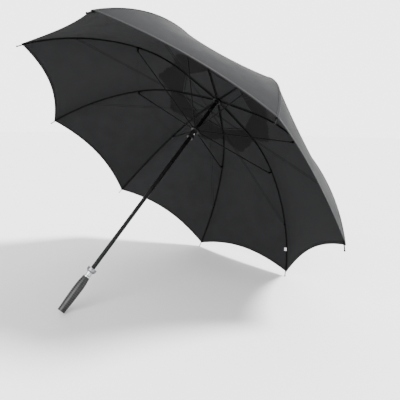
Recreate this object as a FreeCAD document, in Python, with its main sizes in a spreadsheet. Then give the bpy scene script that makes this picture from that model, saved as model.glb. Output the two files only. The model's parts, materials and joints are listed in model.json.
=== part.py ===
"""Golf umbrella with a vented double canopy, lying open on its grip and two rib tips.

Two frames are used. The shaft frame has its origin at the flat end of the grip and +Z along the
shaft to the ferrule; every piece is built in it, at azimuth 0 for the pieces that repeat round the
shaft. The row frame has the floor at Z = 0 and +Z up; each piece's Placement lays it down there.

The linkage: a rib turns about the notch wire, a stretcher turns about the bracket pin at half rib,
and the runner hangs on the stretchers' lower eyes. Bracket pin to notch wire and bracket pin to
runner wire are the same distance, so the runner moves straight along the shaft.
"""
import FreeCAD, Part
import math
import os
import Sketcher
from FreeCAD import Placement, Rotation, Vector

RIBS = 8
GRIP_RINGS = 18
STRAP_RIB = 5
# a half panel stops just short of mid panel, so that it never touches the next one
HALF_PANEL = 0.4993

DIMENSIONS = {
    "shaft_radius": 7.0, "shaft_wall": 0.6, "shaft_foot": 6.0, "shaft_top": 934.0,
    "grip_length": 121.0, "grip_end_radius": 12.0, "grip_max_radius": 15.0,
    "grip_top_radius": 11.5, "grip_widest": 84.0, "ring_depth": 0.8, "ring_groove": 1.8,
    "grip_margin": 5.0, "ring_slope": 0.3,
    "neck_length": 17.0, "neck_radius": 11.0, "neck_waist": 9.6, "neck_flange": 4.0,
    "neck_slope": 2.0, "neck_lip": 1.0, "neck_lip_radius": 10.6,
    "cup_length": 14.0, "cup_radius": 16.0, "cup_wall": 1.2, "cup_depth": 9.0,
    "cup_foot_radius": 11.0, "cup_belly_radius": 15.0, "cup_belly": 4.0, "cup_shoulder": 8.0,
    "cup_floor_radius": 13.4, "cup_hub_radius": 8.6, "cup_hub_drop": 2.0,
    "hinge_radius": 12.5, "hinge_height": 918.0, "crown_radius": 16.5, "crown_above": 2.2,
    "crown_below": 4.4, "crown_slope": 2.0, "crown_tube_radius": 9.2, "notch_length": 16.0,
    "slot_width": 3.0, "slot_over": 1.0, "slot_under": 0.2,
    "wire_radius": 0.7, "channel_radius": 0.76, "wire_hole": 0.86,
    "eye_radius": 3.0, "eye_width": 2.4, "eye_reach": 6.0, "eye_trim": 0.2, "drill_length": 20.0,
    "rib_radius": 2.0, "rib_outer_radius": 1.7, "rib_straight": 150.0, "rib_slope": 4.0,
    "inner_bend": 26.0, "inner_bend_length": 195.0, "outer_bend": 34.4, "outer_length": 412.0,
    "tip_ball_radius": 2.6, "bead_place": 216.0, "bead_radius": 4.0,
    "bead_drop": 1.2,
    "bracket_drop": 13.0, "bracket_gap": 2.7, "bracket_plate": 0.95, "bracket_tail": 12.0,
    "bracket_block": 4.0, "bracket_tail_radius": 2.4,
    "pin_radius": 1.0, "pin_hole": 1.06, "pin_head": 0.25,
    "stretcher_radius": 1.8, "sliding_gap": 0.3, "seat_gap": 0.05,
    "runner_length": 40.0, "runner_tube_radius": 10.4, "runner_foot_radius": 13.0,
    "runner_foot": 5.0, "runner_flare": 3.0,
    "button_radius": 4.0, "button_drop": 21.0, "button_inner": 9.5, "button_outer": 13.0,
    "button_bevel": 0.8, "button_gap": 0.2,
    "cord_radius": 0.6, "cord_hinge_radius": 10.0, "cord_height": 862.0, "cord_spread": 3.0,
    "cord_end_spread": 5.0, "cord_stop": 5.3, "collar_radius": 9.1, "collar_length": 10.0,
    "collar_waist": 8.6, "collar_band": 2.5, "collar_step": 1.0,
    "fabric": 0.5, "lower_lift": 4.0, "upper_lift": 5.1, "vent_lift": 6.0, "saddle": 12.0,
    "eyelet_radius": 9.0, "upper_hem": 200.0, "upper_point": 62.0, "vent_edge": 139.0,
    "canopy_end": 741.0, "hem_scallop": 40.0, "split_gap": 0.6,
    "ferrule_base_radius": 15.0, "ferrule_base": 2.4, "ferrule_neck_radius": 9.0,
    "ferrule_radius": 7.8, "ferrule_end_radius": 6.4, "ferrule_length": 66.0,
    "ferrule_collar": 10.0, "ferrule_step": 1.0, "ferrule_fillet": 2.0, "ferrule_boot": 14.0,
    "ferrule_boot_radius": 8.3, "ferrule_bevel": 5.0, "ferrule_round": 1.5, "eyelet_gap": 0.5,
    "strap_width": 18.0, "strap_length": 150.0, "strap_start": 560.0, "strap_thickness": 1.2,
    "strap_gap": 0.5, "strap_side": 12.0,
    "floor_angle": 45.71, "floor_centre": 408.8,
}

doc = FreeCAD.newDocument("golf_umbrella")
sheet = doc.addObject("Spreadsheet::Sheet", "dims")
for row, (alias, value) in enumerate(DIMENSIONS.items(), start=1):
    sheet.set(f"A{row}", alias)
    sheet.set(f"B{row}", str(value))
    sheet.setAlias(f"B{row}", alias)
doc.recompute()

subparts = []


def size(alias):
    return float(sheet.get(alias))


def bind(obj, **expressions):
    """Sets properties from sheet expressions, such as Radius="dims.rib_radius"."""
    for name, expression in expressions.items():
        obj.setExpression(name, expression)


# ---- the rib's curve, in the plane of one rib: r out from the shaft, z along it ----

STEP_ANGLE = 360.0 / RIBS
HINGE = Vector(size("hinge_radius"), 0, size("hinge_height"))


def direction(angle):
    """Unit vector in the rib's plane, at an angle in degrees below the outward direction."""
    return Vector(math.cos(math.radians(angle)), 0, -math.sin(math.radians(angle)))


def outward(angle):
    """Unit normal on the outer side of a rib that slopes down at this angle."""
    return Vector(math.sin(math.radians(angle)), 0, math.cos(math.radians(angle)))


def arc_point(start, slope, radius, turned):
    """Point on an arc that starts at a slope and bends further down by turned degrees."""
    centre = start - outward(slope) * radius
    return centre + outward(slope + turned) * radius


BEND_RADIUS = size("inner_bend_length") / math.radians(size("inner_bend"))
OUTER_RADIUS = size("outer_length") / math.radians(size("outer_bend"))
BEND_START = HINGE + direction(size("rib_slope")) * size("rib_straight")
KNEE_SLOPE = size("rib_slope") + size("inner_bend")
KNEE = arc_point(BEND_START, size("rib_slope"), BEND_RADIUS, size("inner_bend"))
KNEE_PLACE = size("rib_straight") + size("inner_bend_length")
TIP = arc_point(KNEE, KNEE_SLOPE, OUTER_RADIUS, size("outer_bend"))
PIN = KNEE - outward(KNEE_SLOPE) * size("bracket_drop")
RUNNER_EYE = Vector(HINGE.x, 0, 2 * PIN.z - HINGE.z)


def rib_at(place):
    """Point of the rib's centre line and its slope, at a distance along it from the notch."""
    if place <= size("rib_straight"):
        return HINGE + direction(size("rib_slope")) * place, size("rib_slope")
    if place <= KNEE_PLACE:
        turned = math.degrees((place - size("rib_straight")) / BEND_RADIUS)
        point = arc_point(BEND_START, size("rib_slope"), BEND_RADIUS, turned)
        return point, size("rib_slope") + turned
    turned = math.degrees((place - KNEE_PLACE) / OUTER_RADIUS)
    return arc_point(KNEE, KNEE_SLOPE, OUTER_RADIUS, turned), KNEE_SLOPE + turned


def bead_centre():
    """The bead hangs a little under the rib, so that it clears the canopy."""
    point, slope = rib_at(KNEE_PLACE + size("bead_place"))
    return point - outward(slope) * size("bead_drop")


# ---- placing ----

def lying():
    """Lays the shaft frame down: the grip's lower edge and two rib tips touch the floor."""
    tilt = size("floor_angle")
    rotation = Rotation(Vector(1, 0, 0), tilt - 90)
    height = size("grip_end_radius") * math.cos(math.radians(tilt))
    return Placement(Vector(0, -size("floor_centre"), height), rotation)


def about_shaft(azimuth):
    return Placement(Vector(), Rotation(Vector(0, 0, 1), azimuth))


def rib_azimuth(number):
    return STEP_ANGLE * (number - 0.5)


def finish(obj, label, azimuth=0.0, height=0.0):
    """Names a sub-part, lays it down and lists it for export."""
    obj.Label = label
    along_shaft = Placement(Vector(0, 0, height), Rotation())
    obj.Placement = lying().multiply(about_shaft(azimuth)).multiply(along_shaft)
    subparts.append(obj)


# ---- building blocks ----

def plane(body, role):
    return next(f for f in body.Origin.OriginFeatures if f.Role == role)


def new_sketch(body, name, role, offset=0.0):
    sketch = body.newObject("Sketcher::SketchObject", name)
    sketch.AttachmentSupport = [(plane(body, role), "")]
    sketch.MapMode = "FlatFace"
    sketch.AttachmentOffset = Placement(Vector(0, 0, offset), Rotation())
    return sketch


def value_of(expression):
    """The value of a sheet expression, for a sketch's first guess."""
    return float(sheet.evalExpression(expression))


def hold_point(sketch, line, point, across, along):
    """Fixes a line's start point at two expressions, 0 meaning on the axis."""
    for kind, expression, axis in (("DistanceX", across, -2), ("DistanceY", along, -1)):
        if expression == "0":
            sketch.addConstraint(Sketcher.Constraint("PointOnObject", line, point, axis))
            continue
        held = Sketcher.Constraint(kind, -1, 1, line, point, value_of(expression))
        index = sketch.addConstraint(held)
        sketch.setExpression(f"Constraints[{index}]", expression)


def draw_outline(sketch, points):
    """Draws a closed outline of straight lines through (across, along) expressions."""
    places = [Vector(value_of(a), value_of(b), 0) for a, b in points]
    for start, end in zip(places, places[1:] + places[:1]):
        sketch.addGeometry(Part.LineSegment(start, end), False)
    for line in range(len(points)):
        after = (line + 1) % len(points)
        sketch.addConstraint(Sketcher.Constraint("Coincident", line, 2, after, 1))
    for line, (across, along) in enumerate(points):
        hold_point(sketch, line, 1, across, along)


def turned_body(name, points):
    """A PartDesign body turned about the shaft's axis from an outline of (radius, height)."""
    body = doc.addObject("PartDesign::Body", name)
    sketch = new_sketch(body, name + "_outline", "XZ_Plane")
    draw_outline(sketch, points)
    turn = body.newObject("PartDesign::Revolution", name + "_turn")
    turn.Profile = sketch
    turn.ReferenceAxis = (sketch, ["V_Axis"])
    turn.Angle = 360
    doc.recompute()
    return body


def cut_checked(body, before, what):
    """Recomputes and makes sure that a cut took material away."""
    doc.recompute()
    if body.Shape.Volume >= before - 1e-3:
        raise RuntimeError(f"{what} cut nothing")


def wire_channel(body, name, height):
    """A round channel inside a crown for the ring wire that carries the eyes."""
    before = body.Shape.Volume
    sketch = new_sketch(body, name + "_channel_outline", "XZ_Plane")
    centre = Vector(size("hinge_radius"), value_of(height), 0)
    circle = Part.Circle(centre, Vector(0, 0, 1), size("channel_radius"))
    sketch.addGeometry(circle, False)
    radius = sketch.addConstraint(Sketcher.Constraint("Radius", 0, size("channel_radius")))
    sketch.setExpression(f"Constraints[{radius}]", "dims.channel_radius")
    hold_point(sketch, 0, 3, "dims.hinge_radius", height)
    groove = body.newObject("PartDesign::Groove", name + "_channel")
    groove.Profile = sketch
    groove.ReferenceAxis = (sketch, ["V_Axis"])
    groove.Angle = 360
    cut_checked(body, before, groove.Name)


def crown_slots(body, name, height):
    """Radial slots, one for each rib, cut down through a crown whose hinge is at height."""
    before = body.Shape.Volume
    above = value_of(height) + size("crown_above") + size("slot_over")
    sketch = new_sketch(body, name + "_slot_outline", "XY_Plane", above)
    inner = "dims.crown_tube_radius"
    outer = "dims.crown_radius + dims.slot_over"
    half = size("slot_width") / 2
    xs = [value_of(inner), value_of(outer)]
    corners = [Vector(xs[0], -half, 0), Vector(xs[1], -half, 0),
               Vector(xs[1], half, 0), Vector(xs[0], half, 0)]
    for start, end in zip(corners, corners[1:] + corners[:1]):
        sketch.addGeometry(Part.LineSegment(start, end), False)
    for line in range(4):
        sketch.addConstraint(Sketcher.Constraint("Coincident", line, 2, (line + 1) % 4, 1))
    for line, kind in enumerate(("Horizontal", "Vertical", "Horizontal")):
        sketch.addConstraint(Sketcher.Constraint(kind, line))
    sketch.addConstraint(Sketcher.Constraint("Symmetric", 0, 1, 2, 2, -1))
    width = sketch.addConstraint(Sketcher.Constraint("DistanceY", 1, 1, 1, 2, 2 * half))
    sketch.setExpression(f"Constraints[{width}]", "dims.slot_width")
    near = sketch.addConstraint(Sketcher.Constraint("DistanceX", -1, 1, 0, 1, xs[0]))
    sketch.setExpression(f"Constraints[{near}]", inner)
    far = sketch.addConstraint(Sketcher.Constraint("DistanceX", -1, 1, 0, 2, xs[1]))
    sketch.setExpression(f"Constraints[{far}]", outer)
    slot = body.newObject("PartDesign::Pocket", name + "_slot")
    slot.Profile = sketch
    bind(slot, Length="dims.crown_above + dims.crown_below + dims.slot_over + dims.slot_under")
    doc.recompute()
    pattern = body.newObject("PartDesign::PolarPattern", name + "_slots")
    pattern.Originals = [slot]
    pattern.Axis = (sketch, ["N_Axis"])
    pattern.Angle = 360
    pattern.Occurrences = RIBS
    body.Tip = pattern
    cut_checked(body, before, pattern.Name)


def cylinder(name, radius, length, start, along):
    """A Part cylinder from a start point; radius and length are sheet expressions."""
    rod = doc.addObject("Part::Cylinder", name)
    bind(rod, Radius=radius, Height=length)
    rod.Placement = Placement(start, Rotation(Vector(0, 0, 1), along))
    return rod


def cross_cylinder(name, radius, length, centre):
    """A cylinder across the rib's plane, centred on it."""
    half = value_of(length) / 2
    return cylinder(name, radius, length, centre - Vector(0, half, 0), Vector(0, 1, 0))


def ball(name, radius, centre):
    sphere = doc.addObject("Part::Sphere", name)
    bind(sphere, Radius=radius)
    sphere.Placement = Placement(centre, Rotation())
    return sphere


def bent_rod(name, radius, start, slope, bend_radius, turned):
    """A round rod along an arc of the rib's curve, as a piece of a torus."""
    rod = doc.addObject("Part::Torus", name)
    bind(rod, Radius2=radius)
    rod.Radius1 = bend_radius
    rod.Angle3 = turned
    # the torus lies in its own XY plane and starts on its X axis, turning towards its Y axis
    x_axis = outward(slope)
    y_axis = direction(slope)
    centre = start - x_axis * bend_radius
    rod.Placement = Placement(centre, Rotation(x_axis, y_axis, Vector(), "XYZ"))
    return rod


def joined(name, pieces):
    fusion = doc.addObject("Part::MultiFuse", name)
    fusion.Shapes = pieces
    return fusion


def drilled(name, solid, holes):
    """A Part::Cut of one solid by cross holes, each (radius expression, centre)."""
    drills = [cross_cylinder(f"{name}_drill_{i}", radius, "dims.drill_length", centre)
              for i, (radius, centre) in enumerate(holes)]
    result = doc.addObject("Part::Cut", name)
    result.Base = solid
    result.Tool = drills[0] if len(drills) == 1 else joined(name + "_drills", drills)
    return result


# ---- the pieces that do not repeat ----

def make_shaft():
    body = doc.addObject("PartDesign::Body", "shaft")
    sketch = new_sketch(body, "shaft_section", "XY_Plane", size("shaft_foot"))
    for index, alias in enumerate(("dims.shaft_radius", "dims.shaft_radius - dims.shaft_wall")):
        circle = Part.Circle(Vector(), Vector(0, 0, 1), value_of(alias))
        sketch.addGeometry(circle, False)
        sketch.addConstraint(Sketcher.Constraint("Coincident", index, 3, -1, 1))
        held = sketch.addConstraint(Sketcher.Constraint("Radius", index, value_of(alias)))
        sketch.setExpression(f"Constraints[{held}]", alias)
    pad = body.newObject("PartDesign::Pad", "shaft_tube")
    pad.Profile = sketch
    bind(pad, Length="dims.shaft_top - dims.shaft_foot")
    finish(body, "shaft")


def grip_radius(height):
    """Expression for the grip's radius at a height: a long swell, then a quick taper."""
    widest = size("grip_widest")
    if height <= widest:
        share = math.sin(0.5 * math.pi * height / widest)
        low = "dims.grip_end_radius"
    else:
        share = math.cos(0.5 * math.pi * (height - widest) / (size("grip_length") - widest))
        low = "dims.grip_top_radius"
    return f"{low} + (dims.grip_max_radius - {low}) * {share:.4f}"


def make_grip():
    """Moulded sleeve with a closed flat end and shallow rings from end to end."""
    bore = "dims.shaft_radius + dims.seat_gap"
    points = [("0", "0"), (grip_radius(0), "0")]
    pitch = (size("grip_length") - 2 * size("grip_margin")) / GRIP_RINGS
    for ring in range(GRIP_RINGS):
        low = size("grip_margin") + pitch * ring
        wall = grip_radius(low)
        for depth, rise in ((wall, "0"), (wall + " - dims.ring_depth", "dims.ring_slope"),
                            (wall + " - dims.ring_depth", "dims.ring_groove - dims.ring_slope"),
                            (grip_radius(low + size("ring_groove")), "dims.ring_groove")):
            points.append((depth, f"{low:.3f} + {rise}"))
    points += [(grip_radius(size("grip_length")), "dims.grip_length"), (bore, "dims.grip_length"),
               (bore, "dims.shaft_foot - dims.seat_gap"),
               ("0", "dims.shaft_foot - dims.seat_gap")]
    finish(turned_body("grip", points), "grip")


def make_neck_collar():
    bore = "dims.shaft_radius + dims.seat_gap"
    foot = "dims.grip_length + dims.seat_gap"
    top = "dims.grip_length + dims.neck_length"
    flange = foot + " + dims.neck_flange"
    lip = top + " - dims.neck_lip"
    points = [(bore, foot), ("dims.neck_radius", foot), ("dims.neck_radius", flange),
              ("dims.neck_waist", flange + " + dims.neck_slope"),
              ("dims.neck_waist", lip + " - dims.neck_slope"),
              ("dims.neck_lip_radius", lip), ("dims.neck_lip_radius", top), (bore, top)]
    finish(turned_body("neck_collar", points), "neck_collar")


def make_tip_cup():
    """Dish that the rib tips gather over when the umbrella is closed."""
    bore = "dims.shaft_radius + dims.seat_gap"
    foot = "dims.grip_length + dims.neck_length + dims.seat_gap"
    rim = "dims.grip_length + dims.neck_length + dims.cup_length"
    floor = rim + " - dims.cup_depth"
    hub = rim + " - dims.cup_hub_drop"
    points = [(bore, foot), ("dims.cup_foot_radius", foot),
              ("dims.cup_belly_radius", foot + " + dims.cup_belly"),
              ("dims.cup_radius", foot + " + dims.cup_shoulder"), ("dims.cup_radius", rim),
              ("dims.cup_radius - dims.cup_wall", rim), ("dims.cup_floor_radius", floor),
              ("dims.cup_hub_radius", floor), ("dims.cup_hub_radius", hub), (bore, hub)]
    finish(turned_body("tip_cup", points), "tip_cup")


def ring_wire(name, height):
    wire = doc.addObject("Part::Torus", name)
    bind(wire, Radius1="dims.hinge_radius", Radius2="dims.wire_radius")
    finish(wire, name, height=value_of(height))


def make_notch():
    """Slotted crown at the top of the shaft, with the wire that the ribs turn on."""
    hinge = "dims.hinge_height"
    top = hinge + " + dims.crown_above"
    foot = top + " - dims.notch_length"
    bore = "dims.shaft_radius + dims.seat_gap"
    points = [(bore, foot), ("dims.crown_tube_radius", foot),
              ("dims.crown_tube_radius", hinge + " - dims.crown_below"),
              ("dims.crown_radius", hinge + " - dims.crown_below"), ("dims.crown_radius", top),
              (bore, top)]
    body = turned_body("notch", points)
    wire_channel(body, "notch", hinge)
    crown_slots(body, "notch", hinge)
    finish(body, "notch", rib_azimuth(1))
    ring_wire("notch_wire", hinge)


def make_cord_collar():
    bore = "dims.shaft_radius + dims.seat_gap"
    foot = "dims.cord_height - 0.5 * dims.collar_length"
    top = "dims.cord_height + 0.5 * dims.collar_length"
    low_band = foot + " + dims.collar_band"
    high_band = top + " - dims.collar_band"
    points = [(bore, foot), ("dims.collar_radius", foot), ("dims.collar_radius", low_band),
              ("dims.collar_waist", low_band + " + dims.collar_step"),
              ("dims.collar_waist", high_band + " - dims.collar_step"),
              ("dims.collar_radius", high_band), ("dims.collar_radius", top), (bore, top)]
    finish(turned_body("cord_collar", points), "cord_collar")


def make_ferrule():
    """Turned spike that clamps the canopy's eyelet and ends in a rounded foot."""
    bore = "dims.shaft_radius + dims.seat_gap"
    seat = "dims.hinge_height + dims.upper_lift + dims.fabric + dims.eyelet_gap"
    base = seat + " + dims.ferrule_base"
    collar = base + " + dims.ferrule_collar"
    end = base + " + dims.ferrule_length"
    boot = end + " - dims.ferrule_boot"
    floor = "dims.shaft_top + dims.seat_gap"
    points = [(bore, seat), ("dims.ferrule_base_radius", seat),
              ("dims.ferrule_base_radius", base + " - dims.ferrule_step"),
              ("dims.ferrule_neck_radius + dims.ferrule_step", base),
              ("dims.ferrule_neck_radius", base + " + dims.ferrule_fillet"),
              ("dims.ferrule_neck_radius", collar),
              ("dims.ferrule_radius", collar + " + dims.ferrule_step"),
              ("dims.ferrule_radius", boot),
              ("dims.ferrule_boot_radius", boot + " + dims.ferrule_step"),
              ("dims.ferrule_boot_radius", end + " - dims.ferrule_bevel"),
              ("dims.ferrule_end_radius", end + " - dims.ferrule_round"),
              ("dims.ferrule_end_radius - dims.ferrule_round", end), ("0", end),
              ("0", floor), (bore, floor)]
    finish(turned_body("ferrule", points), "ferrule")


def make_runner():
    """Sleeve with a slotted crown, a plain tube, a flared foot and a hole for its button."""
    hinge = f"{RUNNER_EYE.z:.4f}"
    top = hinge + " + dims.crown_above"
    foot = hinge + " - dims.runner_length"
    bore = "dims.shaft_radius + dims.sliding_gap"
    points = [(bore, foot), ("dims.runner_foot_radius", foot),
              ("dims.runner_foot_radius", foot + " + dims.runner_foot"),
              ("dims.runner_tube_radius", foot + " + dims.runner_foot + dims.runner_flare"),
              ("dims.runner_tube_radius", hinge + " - dims.crown_below - dims.crown_slope"),
              ("dims.crown_radius", hinge + " - dims.crown_below"), ("dims.crown_radius", top),
              (bore, top)]
    body = turned_body("runner", points)
    wire_channel(body, "runner", hinge)
    crown_slots(body, "runner", hinge)
    before = body.Shape.Volume
    hole = new_sketch(body, "runner_button_hole_outline", "XZ_Plane")
    # the body is turned half a rib step from azimuth 0, so its hole is drawn on a turned sketch
    hole.AttachmentOffset = Placement(Vector(), Rotation(Vector(0, 1, 0), -90 - rib_azimuth(1)))
    height = hinge + " - dims.button_drop"
    centre = Vector(0, value_of(height), 0)
    radius = "dims.button_radius + dims.button_gap"
    hole.addGeometry(Part.Circle(centre, Vector(0, 0, 1), value_of(radius)), False)
    held = hole.addConstraint(Sketcher.Constraint("Radius", 0, value_of(radius)))
    hole.setExpression(f"Constraints[{held}]", radius)
    hold_point(hole, 0, 3, "0", height)
    pocket = body.newObject("PartDesign::Pocket", "runner_button_hole")
    pocket.Profile = hole
    bind(pocket, Length="dims.drill_length")
    pocket.Reversed = False
    body.Tip = pocket
    cut_checked(body, before, pocket.Name)
    finish(body, "runner", rib_azimuth(1))
    ring_wire("runner_wire", hinge)
    make_runner_button(value_of(height))


def make_runner_button(height):
    """Round push button with a bevelled face, across the shaft."""
    stem = cylinder("runner_button_stem", "dims.button_radius",
                    "dims.button_outer - dims.button_inner - dims.button_bevel",
                    Vector(size("button_inner"), 0, height), Vector(1, 0, 0))
    face = doc.addObject("Part::Cone", "runner_button_face")
    bind(face, Radius1="dims.button_radius", Radius2="dims.button_radius - dims.button_bevel",
         Height="dims.button_bevel")
    start = size("button_outer") - size("button_bevel")
    face.Placement = Placement(Vector(start, 0, height), Rotation(Vector(0, 0, 1), Vector(1, 0, 0)))
    finish(joined("runner_button", [stem, face]), "runner_button")


# ---- the pieces that repeat round the shaft ----

def eye_and_rod(name, rod_radius, hole_centre, towards):
    """A flat eye and the short neck that leads from it into a round rod."""
    eye = cross_cylinder(name + "_eye", "dims.eye_radius", "dims.eye_width", hole_centre)
    neck = doc.addObject("Part::Box", name + "_neck")
    bind(neck, Length="dims.eye_reach + 1", Width="dims.eye_width",
         Height=f"2 * ({rod_radius} - dims.eye_trim)")
    middle = Vector(0, -size("eye_width") / 2, size("eye_trim") - value_of(rod_radius))
    turn = Rotation(towards, Vector(0, 1, 0), Vector(), "XYZ")
    neck.Placement = Placement(hole_centre + turn.multVec(middle), turn)
    return [eye, neck]


def make_rib_inner(number):
    """Rib from the notch to the bracket, with the bracket's two plates and pins."""
    name = f"rib_inner_{number}"
    slope = size("rib_slope")
    reach = size("eye_reach")
    along = direction(slope)
    tail = size("bracket_tail")
    turned = math.degrees((size("inner_bend_length") - tail + size("bracket_block")) / BEND_RADIUS)
    pieces = eye_and_rod(name, "dims.rib_radius", HINGE, along)
    pieces.append(cylinder(name + "_straight", "dims.rib_radius",
                           "dims.rib_straight - dims.eye_reach", HINGE + along * reach, along))
    pieces.append(bent_rod(name + "_bend", "dims.rib_radius", BEND_START, slope,
                           BEND_RADIUS, turned))
    pieces += bracket(name)
    solid = joined(name + "_solid", pieces)
    finish(drilled(name, solid, [("dims.wire_hole", HINGE)]), name, rib_azimuth(number))


def plate(name, start, end, half_width, offset):
    """A flat link with round ends between two points of the rib's plane, at a Y offset."""
    thick = size("bracket_plate")
    pieces = []
    for mark, centre in (("a", start), ("b", end)):
        foot = centre + Vector(0, offset, 0)
        pieces.append(cylinder(f"{name}_{mark}", half_width, "dims.bracket_plate", foot,
                               Vector(0, 1, 0)))
    bar = doc.addObject("Part::Box", name + "_bar")
    along = end - start
    bind(bar, Width="dims.bracket_plate", Height=f"2 * ({half_width})")
    bar.Length = along.Length
    turn = Rotation(along.normalize(), Vector(0, 1, 0), Vector(), "XYZ")
    corner = Vector(0, 0, -value_of(half_width))
    bar.Placement = Placement(start + Vector(0, offset, 0) + turn.multVec(corner), turn)
    return pieces + [bar]


def bracket(name):
    """Two plates each side of the rib and stretcher, a block between them and two pins."""
    gap = size("bracket_gap") / 2
    back = KNEE - direction(KNEE_SLOPE) * size("bracket_tail")
    pieces = []
    for side, offset in (("left", gap), ("right", -gap - size("bracket_plate"))):
        pieces += plate(f"{name}_{side}_drop", KNEE, PIN, "dims.eye_radius", offset)
        pieces += plate(f"{name}_{side}_tail", KNEE, back, "dims.bracket_tail_radius", offset)
    block = doc.addObject("Part::Box", name + "_block")
    bind(block, Length="dims.bracket_tail - dims.bracket_block", Width="dims.bracket_gap",
         Height="2 * dims.bracket_tail_radius")
    turn = Rotation(direction(KNEE_SLOPE), Vector(0, 1, 0), Vector(), "XYZ")
    corner = Vector(0, -gap, -size("bracket_tail_radius"))
    block.Placement = Placement(back + turn.multVec(corner), turn)
    pins = [cross_cylinder(f"{name}_pin_{mark}", "dims.pin_radius",
                           "dims.bracket_gap + 2 * dims.bracket_plate + 2 * dims.pin_head", centre)
            for mark, centre in (("knee", KNEE), ("stretcher", PIN))]
    return pieces + [block] + pins


def make_rib_outer(number):
    """Rib from the bracket to the tip, with the cord's bead and the ball tip."""
    name = f"rib_outer_{number}"
    reach = size("eye_reach")
    start_turn = math.degrees(reach / OUTER_RADIUS)
    start, slope = rib_at(KNEE_PLACE + reach)
    pieces = eye_and_rod(name, "dims.rib_outer_radius", KNEE, direction(KNEE_SLOPE))
    pieces.append(bent_rod(name + "_bend", "dims.rib_outer_radius", start, slope,
                           OUTER_RADIUS, size("outer_bend") - start_turn))
    pieces.append(ball(name + "_bead", "dims.bead_radius", bead_centre()))
    pieces.append(ball(name + "_tip", "dims.tip_ball_radius", TIP))
    solid = joined(name + "_solid", pieces)
    finish(drilled(name, solid, [("dims.pin_hole", KNEE)]), name, rib_azimuth(number))


def make_stretcher(number):
    """Straight rod with a flat eye at the bracket and another at the runner."""
    name = f"stretcher_{number}"
    along = (PIN - RUNNER_EYE).normalize()
    length = PIN.distanceToPoint(RUNNER_EYE)
    reach = size("eye_reach")
    pieces = eye_and_rod(name + "_lower", "dims.stretcher_radius", RUNNER_EYE, along)
    pieces += eye_and_rod(name + "_upper", "dims.stretcher_radius", PIN, along.negative())
    rod = cylinder(name + "_rod", "dims.stretcher_radius", f"{length:.4f} - 2 * dims.eye_reach",
                   RUNNER_EYE + along * reach, along)
    solid = joined(name + "_solid", pieces + [rod])
    holes = [("dims.wire_hole", RUNNER_EYE), ("dims.pin_hole", PIN)]
    finish(drilled(name, solid, holes), name, rib_azimuth(number))


def make_cord(number):
    """Doubled cord from the collar to the rib's bead: two strands joined by a bight."""
    name = f"tension_cord_{number}"
    bead = bead_centre()
    root = Vector(size("cord_hinge_radius"), 0, size("cord_height"))
    flat = (bead - root).normalize()
    stop = bead - flat * size("cord_stop")
    pieces = [cross_cylinder(name + "_bight", "dims.cord_radius", "2 * dims.cord_spread", root)]
    for mark, side in (("left", 1), ("right", -1)):
        start = root + Vector(0, side * size("cord_spread"), 0)
        end = stop + Vector(0, side * size("cord_end_spread"), 0)
        strand = end - start
        pieces.append(cylinder(f"{name}_{mark}", "dims.cord_radius", f"{strand.Length:.4f}",
                               start, strand.normalize()))
        pieces.append(ball(f"{name}_{mark}_bend", "dims.cord_radius", start))
    finish(joined(name, pieces), name, rib_azimuth(number))


# ---- the canopy ----

def panel_point(place, share, lift):
    """Point of the fabric: place along the rib, share across the panel (0.5 is its middle)."""
    point, slope = rib_at(max(place, 0.0))
    radius = point.x + min(place, 0.0)
    step = math.radians(STEP_ANGLE)
    x = radius * (1 - share + share * math.cos(step))
    y = radius * share * math.sin(step)
    azimuth = math.degrees(math.atan2(y, x))
    across = 4 * share * (1 - share)
    reach = place / size("canopy_end")
    sag = size("saddle") * across * math.sin(math.pi * max(reach, 0.0)) ** 2
    normal = about_shaft(azimuth).multVec(outward(slope if place > 0 else 0.0))
    return Vector(x, y, point.z) + normal * (lift - sag)


def sheet_face(places, lift, steps=(9, 6)):
    """A smooth face over half a panel; places(share) gives its two ends along the rib."""
    rows = []
    for i in range(steps[0]):
        row = []
        for j in range(steps[1]):
            share = HALF_PANEL * j / (steps[1] - 1)
            start, end = places(share)
            place = start + (end - start) * i / (steps[0] - 1)
            row.append(panel_point(place, share, lift(place, share)))
        rows.append(row)
    surface = Part.BSplineSurface()
    surface.interpolate(rows)
    return surface


def half_panel(places, lift):
    """A closed solid of fabric between an inner and an outer face."""
    inner = sheet_face(places, lift)
    outer = sheet_face(places, lambda place, share: lift(place, share) + size("fabric"))
    faces = [inner.toShape(), outer.toShape()]
    for low, high in zip(border(inner), border(outer)):
        faces.append(Part.makeRuledSurface(low, high))
    shell = Part.makeCompound(faces)
    shell.sewShape()
    solid = Part.makeSolid(shell.Shells[0])
    if solid.Volume < 0:
        solid.reverse()
    return solid


def border(surface):
    u0, u1, v0, v1 = surface.bounds()
    return [surface.uIso(u0).toShape(), surface.uIso(u1).toShape(),
            surface.vIso(v0).toShape(), surface.vIso(v1).toShape()]


def both_halves(places, lift):
    """A piece of canopy centred on its rib: a half panel and its mirror image."""
    half = half_panel(places, lift)
    other = half.mirror(Vector(), Vector(0, 1, 0))
    return half.fuse(other)


def hem(edge, scallop):
    """A hem that hangs between two ribs, drawn back by the scallop at mid panel."""
    return lambda share: size(edge) - size(scallop) * 4 * share * (1 - share)


def crown_shape():
    """Upper canopy from the eyelet to its free hem, and lower canopy from the vent to the knee."""
    eyelet = size("eyelet_radius") - size("hinge_radius")
    farthest = size("upper_hem") + size("upper_point")
    rise = size("vent_lift")

    def upper_end(share):
        return size("upper_hem") + size("upper_point") * 2 * share

    def upper_lift(place, share):
        reach = max(place, 0.0) / farthest
        return size("upper_lift") + rise * 4 * share * (1 - share) * reach ** 2

    upper = both_halves(lambda share: (eyelet, upper_end(share)), upper_lift)
    lower = both_halves(
        lambda share: (size("vent_edge"), KNEE_PLACE - size("split_gap") / 2),
        lambda place, share: size("lower_lift"))
    return Part.makeCompound([upper, lower])


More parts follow.
